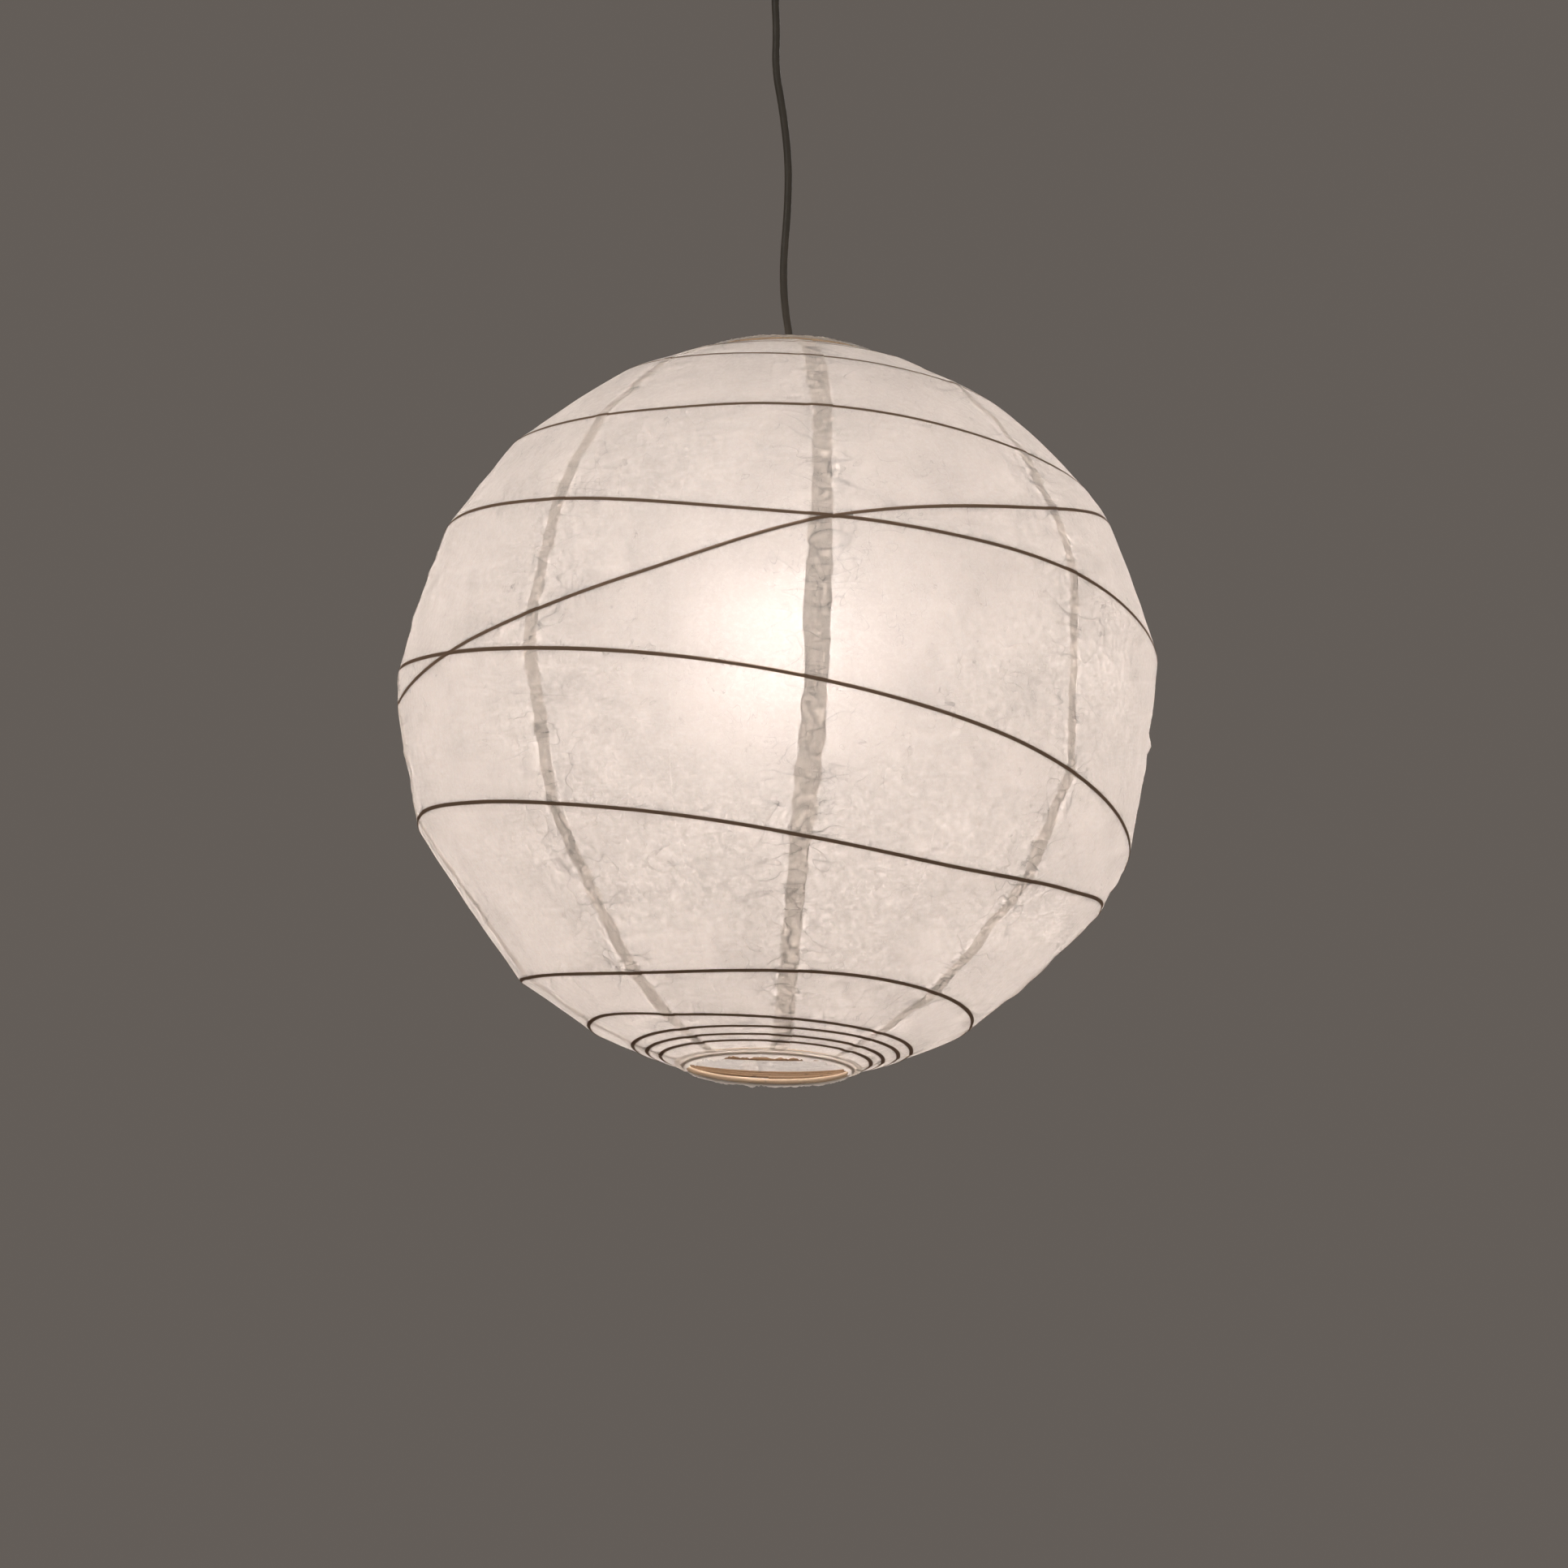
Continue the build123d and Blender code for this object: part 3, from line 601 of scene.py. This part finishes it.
def make_gore(number):
    """A gore as a grid: its columns follow the seams, and its rows the passes of the rib."""
    seams = (first_seam + (number - 1) * 2 * pi / gore_count, first_seam + number * 2 * pi / gore_count)
    columns = len(gore_columns(number, full_lap_width))
    folds_at = gore_folds(number, seams, columns)
    rows_between = [rows_for(upper, lower) for upper, lower in zip(folds_at, folds_at[1:])]
    total_rows = sum(rows_between)
    bpy.ops.mesh.primitive_grid_add(x_subdivisions=columns - 1, y_subdivisions=total_rows, size=1)
    gore = bpy.context.object
    gore.name = f"washi_gore_{number}"
    starts = [sum(rows_between[:k]) for k in range(len(rows_between))]
    seam_map, rib_map = {}, {}
    for vertex in gore.data.vertices:
        c = round((vertex.co.x + 0.5) * (columns - 1))
        row = round((0.5 - vertex.co.y) * total_rows)
        k = max(i for i in range(len(starts)) if starts[i] <= row)
        share = (row - starts[k]) / rows_between[k]
        upper, lower = folds_at[k][c], folds_at[k + 1][c]
        one = on_mould(upper[1] / (2 * pi), upper[3], paper_depth)
        two = on_mould(lower[1] / (2 * pi), lower[3], paper_depth)
        length = (one - two).length
        here = one.lerp(two, share)
        angle = upper[1] + (lower[1] - upper[1]) * share
        reach = sqrt(here.x**2 + here.y**2)
        out = Vector((here.x / half_width**2, here.y / half_width**2, here.z / half_height**2)).normalized()
        belly = 4 * share * (1 - share)
        bow = length**2 / (8 * half_width)
        stretch = belly * min(1, length / pucker_span)
        offset = upper[0] + (lower[0] - upper[0]) * share
        width = (seams[1] - seams[0]) * reach
        over_next = (offset - (width - lap_at(number, width) - lap_step)) / lap_step
        rise = lap_rise * max(0, min(1, over_next))
        out_by = slack * bow * belly + pucker(angle, reach, here.z, stretch) + rise
        if c in (0, columns - 1):
            stray = ragged(here.z, 3.7 * number + c)
            here += Vector((-out.y, out.x, 0)).normalized() * stray
        vertex.co = here + out * out_by
        near, past = nearest_seam(angle, reach, here.z)
        seam_map[vertex.index] = (past, here.z + seam_spacing * near)
        above = share * length if upper[2] else far_from_rib
        below = (1 - share) * length if lower[2] else far_from_rib
        rib_map[vertex.index] = (min(above, below), here.z)
    for name, placed in (("from_seam", seam_map), ("from_rib", rib_map)):
        layer = gore.data.uv_layers[0] if name == "from_seam" else gore.data.uv_layers.new()
        layer.name = name
        for loop in gore.data.loops:
            layer.data[loop.index].uv = placed[loop.vertex_index]
    mend(gore, outward=True)
    bpy.ops.object.shade_smooth()
    middle_face = gore.data.polygons[len(gore.data.polygons) // 2]
    if middle_face.normal.dot(middle_face.center) < 0:
        gore.data.flip_normals()
    gore.select_set(False)
    return gore


paper_front = (0.94, 0.92, 0.89, 1)
paper_through = (0.97, 0.935, 0.895, 1)
# the rib's colour through the paste, darkened as a painted shadow of the backlit rib behind the sheet
rib_with_painted_shadow = (0.42, 0.27, 0.175, 1)
mean_thickness = 0.49       # the share of the light that the sheet turns back
washi, shader, place = new_material("washi", paper_front, 0.8)
beside_seam = place.node("UVMap", {}, uv_map="from_seam")
beside_rib = place.node("UVMap", {}, uv_map="from_rib")
clouds = place.cloud(22, 3)
mottle = place.cloud(210, 3, 0.6)
grain = place.cloud(1100, 2)
long_fibres = abs(place.cloud(34, 1.5, 0.5, 1.6) - 0.5).between(0, 0.008, 1, 0)
long_fibres *= place.cloud(13, 1).between(0.46, 0.54)
short_fibres = abs(place.cloud(120, 1, 0.5, 1.2) - 0.5).between(0, 0.018, 1, 0)
short_fibres *= place.cloud(45, 1).between(0.52, 0.62)
seam_u = beside_seam.node("SeparateXYZ", {"Vector": beside_seam}, output=0)
rib_u = beside_rib.node("SeparateXYZ", {"Vector": beside_rib}, output=0)
over_rib = rib_u.between(0.0010, 0.0021, 1, 0)
beside_the_rib = rib_u.between(0.0012, 0.006, 1, 0)
in_lap = abs(seam_u).between(half_lap - 0.001, half_lap + 0.001, 1, 0)
across_lap = beside_seam.scaled(0.12, 1, 1)
fold_lines = abs(across_lap.cloud(60, 2) - 0.5).between(0, 0.012, 1, 0)
fold_lines *= across_lap.cloud(17, 1).between(0.5, 0.58)
lap_creases = abs(beside_seam.scaled(1, 0.35, 1).cloud(150, 2) - 0.5).between(0, 0.03, 1, 0)
crease_lines = abs(beside_seam.scaled(0.5, 1, 1).cloud(26, 2, 0.5, 0.8) - 0.5).between(0, 0.012, 1, 0)
near_seam = abs(seam_u).between(0.01, 0.06, 1, 0)
thickness = (
    mean_thickness
    + (clouds - 0.5) * 0.24
    + (mottle - 0.5) * 0.8
    + (grain - 0.5) * 0.3
    + long_fibres * 0.22
    + short_fibres * 0.2
    + in_lap * ((mottle - 0.5) * 0.7 + fold_lines * 0.3 + lap_creases * 0.12 - 0.09)
    + crease_lines * near_seam * 0.22
    + beside_the_rib * 0.05
    + over_rib * 0.8
)
fibres = long_fibres * 0.7 + short_fibres * 0.6 + in_lap * (fold_lines * 0.6 + lap_creases * 0.3)
fibres += crease_lines * near_seam * 0.35
pulp = (mottle * 0.75 + grain * 0.25).between(0.36, 0.64)
pulp_colour = pulp.blend(darker(paper_front, 0.78), darker(paper_front, 1.08))
sheet_colour = fibres.blend(pulp_colour, darker(paper_front, 0.6))
# Over the rib the paper is painted dark brown. Part of that is the rib's own colour through the paste, and
# part is painted shadow of the rib behind the sheet. With the sheet turned nearly opaque there, the two
# together draw the rib's dark line.
over_rib.blend(sheet_colour, rib_with_painted_shadow).into(shader.inputs["Base Color"])
grain.between(0.3, 0.7, 0.74, 0.86).into(shader.inputs["Roughness"])
relief = mottle * 0.5 + grain * 0.3 + long_fibres * 0.6 + short_fibres * 0.4
(relief - crease_lines * near_seam * 0.9 + fold_lines * in_lap).raised(0.12, shader.inputs["Normal"])
shader.inputs["Transmission Weight"].default_value = 0.07
through = place.node("BsdfTranslucent", {"Color": paper_through})
share_turned_back = thickness.node("Clamp", {"Value": thickness, "Min": 0.05, "Max": 1.0})
paper_mix = place.node(
    "MixShader", {0: share_turned_back, 1: through, 2: Value(washi.node_tree, shader.outputs[0])}
)
paper_mix.into(washi.node_tree.nodes["Material Output"].inputs["Surface"])

for number in range(1, gore_count + 1):
    gore = make_gore(number)
    gore.data.materials.append(washi)
    hung(gore, "shade", "washi", f"paper_gore_{number}")
    folds(gore)

# ---- Hems ----------------------------------------------------------------------------------------
# A torn strip of white paper is pasted round each ring: it starts on the gores, goes round the outside
# of the hoop and ends in a torn loose edge. Both its edges are ragged, and it sits in small pleats.
hem_colour = (0.90, 0.87, 0.82, 1)
hem_reach = 0.0045
hem_off = 0.0011
hem_slope = 0.08
hem_pleat = 0.0002
hem_radius = 0.0025
hem_columns, hem_rows = 220, 12
on_gores, round_hoop = 0.45, 0.7        # shares of its width where it leaves the gores and the hoop
bend_start, bend_angle = 25, 60         # degrees round the hoop
hem_weld = 0.00001
hem_paper, shader, place = new_material("hem_paper", hem_colour, 0.9)
hem_mottle = place.cloud(260, 3)
hem_mottle.blend(darker(hem_colour, 0.9), darker(hem_colour, 1.04)).into(shader.inputs["Base Color"])
place.cloud(900, 2).between(0.3, 0.7, 0.82, 0.96).into(shader.inputs["Roughness"])
hem_mottle.raised(0.15, shader.inputs["Normal"])
hem_through = place.node("BsdfTranslucent", {"Color": paper_through})
hem_mix = place.node("MixShader", {0: 0.3, 1: hem_through, 2: Value(hem_paper.node_tree, shader.outputs[0])})
hem_mix.into(hem_paper.node_tree.nodes["Material Output"].inputs["Surface"])


def make_hem(name, side, loose_edge, body, node):
    """A hem round one mouth, from its edge on the gores to its loose edge past the hoop."""
    bpy.ops.mesh.primitive_grid_add(x_subdivisions=hem_columns, y_subdivisions=hem_rows, size=1)
    hem = bpy.context.object
    hem.name = name
    for vertex in hem.data.vertices:
        turn = vertex.co.x + 0.5
        share = vertex.co.y + 0.5
        angle = 2 * pi * turn
        wave = Vector((cos(angle), sin(angle), 0))
        top_stray = 0.5 * noise.noise(wave * 5 + Vector((0, 0, 3 * side))) + 0.3 * noise.noise(wave * 22)
        end_stray = 0.5 * noise.noise(wave * 7 + Vector((4, 0, side))) + 0.3 * noise.noise(wave * 30)
        if share < on_gores:
            back = hem_reach * (1 + 0.5 * top_stray) * (1 - share / on_gores)
            reach = gore_end_radius + back + 0.3 * hem_off
            height = gore_end_height - hem_slope * back + hem_off
        elif share < round_hoop:
            bent = (share - on_gores) / (round_hoop - on_gores)
            round_by = radians(bend_start + bend_angle * bent)
            reach = mouth_radius + hem_radius * cos(round_by)
            height = ring_height + hem_radius * sin(round_by)
        else:
            loose = (share - round_hoop) / (1 - round_hoop) * loose_edge * (1 + 1.5 * end_stray)
            reach = mouth_radius + hem_radius * 0.1 - 0.75 * loose
            height = ring_height + hem_radius + 0.65 * loose
        pleat = hem_pleat * noise.noise(wave * 60 + Vector((0, 0, share * 2)))
        reach += pleat
        vertex.co = Vector((reach * sin(angle), -reach * cos(angle), side * (height + pleat)))
    mend(hem, hem_weld)
    bpy.ops.object.shade_smooth()
    first_face = hem.data.polygons[0]
    if first_face.normal.z * side < 0:
        hem.data.flip_normals()
    hem.data.materials.append(hem_paper)
    hem.select_set(False)
    hung(hem, body, "hem_paper", node)


make_hem("paper_top_hem", 1, 0.0015, "shade", "top_hem")
make_hem("paper_bottom_hem", -1, 0.0040, "lower_ring", "bottom_hem")


# ---- Wire stretcher ------------------------------------------------------------------------------
# Two legs of spring wire stand between the rings and keep the shade at its full height. Their crossbars
# end in an eye that hangs on the lampholder. A few turns of thin wire tie the bars to the legs.
def own_copy(node, name):
    """A piece with a node's shape, welded into one skin."""
    piece = bpy.data.objects.new(name, frame["nodes"][node].data.copy())
    scene.collection.objects.link(piece)
    mend(piece, wire_weld)
    bpy.ops.object.shade_smooth_by_angle(angle=radians(40))
    piece.select_set(False)
    return piece


wire_weld = 0.000005
leg_x = 0.061
eye_height = 0.1078
tie_turns, tie_radius, tie_wire = 5, 0.0019, 0.0004
tie_pitch = 2.05 * tie_wire
tie_sides = 8
points_per_turn = 20
spring_wire = metal("spring_wire", (0.60, 0.59, 0.57, 1), 0.3, (1, 1, 0.15))
dress("stretcher_eye", spring_wire)
for node in ("stretcher_leg_left", "stretcher_leg_right", "stretcher_crossbars"):
    bent = own_copy(node, "wire_" + node)
    bent.data.materials.clear()
    bent.data.materials.append(spring_wire)
    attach(bent, "shade")
    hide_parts(node)
    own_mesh(bent)

tie_outline = [
    (tie_wire * cos(2 * pi * k / tie_sides), tie_wire * sin(2 * pi * k / tie_sides)) for k in range(tie_sides)
]
tie_section = new_section("tie_section", tie_outline)
for side, name in ((-1, "wire_tie_left"), (1, "wire_tie_right")):
    steps = tie_turns * points_per_turn
    turns = [
        Vector((
            side * leg_x + tie_radius * cos(2 * pi * k / points_per_turn),
            tie_radius * sin(2 * pi * k / points_per_turn),
            eye_height + (k / steps - 0.5) * tie_turns * tie_pitch,
        ))
        for k in range(steps + 1)
    ]
    tie = bent_strip(name, turns, [1] * len(turns), tie_section, spring_wire)
    hung(tie, "shade", "spring_wire")
    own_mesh(tie)

# ---- Lampholder ----------------------------------------------------------------------------------
# A black moulded cap and body, with a ring that carries the stretcher's eye. Inside are a porcelain
# insert, a brass screw shell and contact, and two terminals for the cord's cores.
holder_plastic = moulded("holder_plastic", (0.045, 0.043, 0.04, 1), 0.36, 500, 0.02)
porcelain, shader, place = new_material("porcelain", (0.84, 0.82, 0.77, 1), 0.14)
place.cloud(70, 3).blend((0.80, 0.78, 0.72, 1), (0.88, 0.86, 0.82, 1)).into(shader.inputs["Base Color"])
place.cloud(160, 2).raised(0.03, shader.inputs["Normal"])
shader.inputs["Coat Weight"].default_value = 0.6
shell_brass = metal("shell_brass", (0.74, 0.56, 0.27, 1), 0.26, (1, 1, 20))
for node in ("holder_cap", "holder_body", "shade_ring"):
    dress(node, holder_plastic)
dress("holder_insert", porcelain)
for node in ("holder_contact", "holder_terminals", "holder_screw_shell"):
    dress(node, shell_brass)
dress("holder_grip_screw", strap_steel)
dress("holder_cores", core_vinyl)

# ---- Bulb ----------------------------------------------------------------------------------------
# A small warm globe bulb with an opal envelope and an aluminium screw cap. The envelope glows all over
# and is the lantern's only lamp. Its neck is darker, because the lamp inside throws its light down.
bulb_middle = 0.048
glow_fades = (-0.012, 0.034)    # heights above the bulb's middle, where the neck's glow starts and ends
glow_colour = (1.0, 0.885, 0.84, 1)
neck_glow = (0.10, 0.088, 0.084, 1)
glow_strength = 93
opal, shader, place = new_material("opal_glass", (0.93, 0.91, 0.87, 1), 0.22)
place.cloud(120, 2).between(0.3, 0.7, 0.18, 0.3).into(shader.inputs["Roughness"])
place.cloud(90, 2).raised(0.01, shader.inputs["Normal"])
level = place.node("SeparateXYZ", {"Vector": place}, output=2) - (hang @ Vector((0, 0, bulb_middle))).z
level.between(*glow_fades).blend(glow_colour, neck_glow).into(shader.inputs["Emission Color"])
shader.inputs["Emission Strength"].default_value = glow_strength
dress("bulb_globe", opal)
dress("bulb_cap", metal("cap_aluminium", (0.74, 0.74, 0.73, 1), 0.3, (1, 1, 20)))
dress("bulb_contact", metal("contact_tin", (0.66, 0.65, 0.62, 1), 0.35))
dress("bulb_insulator", moulded("cap_insulator", (0.02, 0.016, 0.02, 1), 0.2, 200, 0.01))
dress("bulb_led_mast", metal("mast_aluminium", (0.8, 0.8, 0.78, 1), 0.4))

for section in (rib_section, tie_section):
    bpy.data.objects.remove(section)

# ---- Stage ---------------------------------------------------------------------------------------
# A plain pale floor far below, a plain grey room and three large soft lights.
floor_z = -9.0
bpy.ops.mesh.primitive_plane_add(size=80, location=(0, 0, floor_z))
floor = bpy.context.object
floor.name = "floor"
pale_floor, _, _ = new_material("pale_floor", (0.62, 0.60, 0.57, 1), 0.9)
floor.data.materials.append(pale_floor)

world = bpy.data.worlds.new("room")
world.use_nodes = True
world.node_tree.nodes["Background"].inputs["Color"].default_value = (0.126, 0.110, 0.098, 1)
scene.world = world
for name, spot, energy, size in (
    ("key_light", Vector((-3.5, -4.5, 2.5)), 60, 3.0),
    ("fill_light", Vector((4.5, -3.0, -0.5)), 22, 3.5),
    ("back_light", Vector((1.5, 4.5, 2.0)), 40, 3.0),
):
    lamp = bpy.data.lights.new(name, "AREA")
    lamp.energy = energy
    lamp.size = size
    lamp_object = bpy.data.objects.new(name, lamp)
    lamp_object.location = spot
    lamp_object.rotation_euler = (shade_middle - spot).to_track_quat("-Z", "Y").to_euler()
    scene.collection.objects.link(lamp_object)
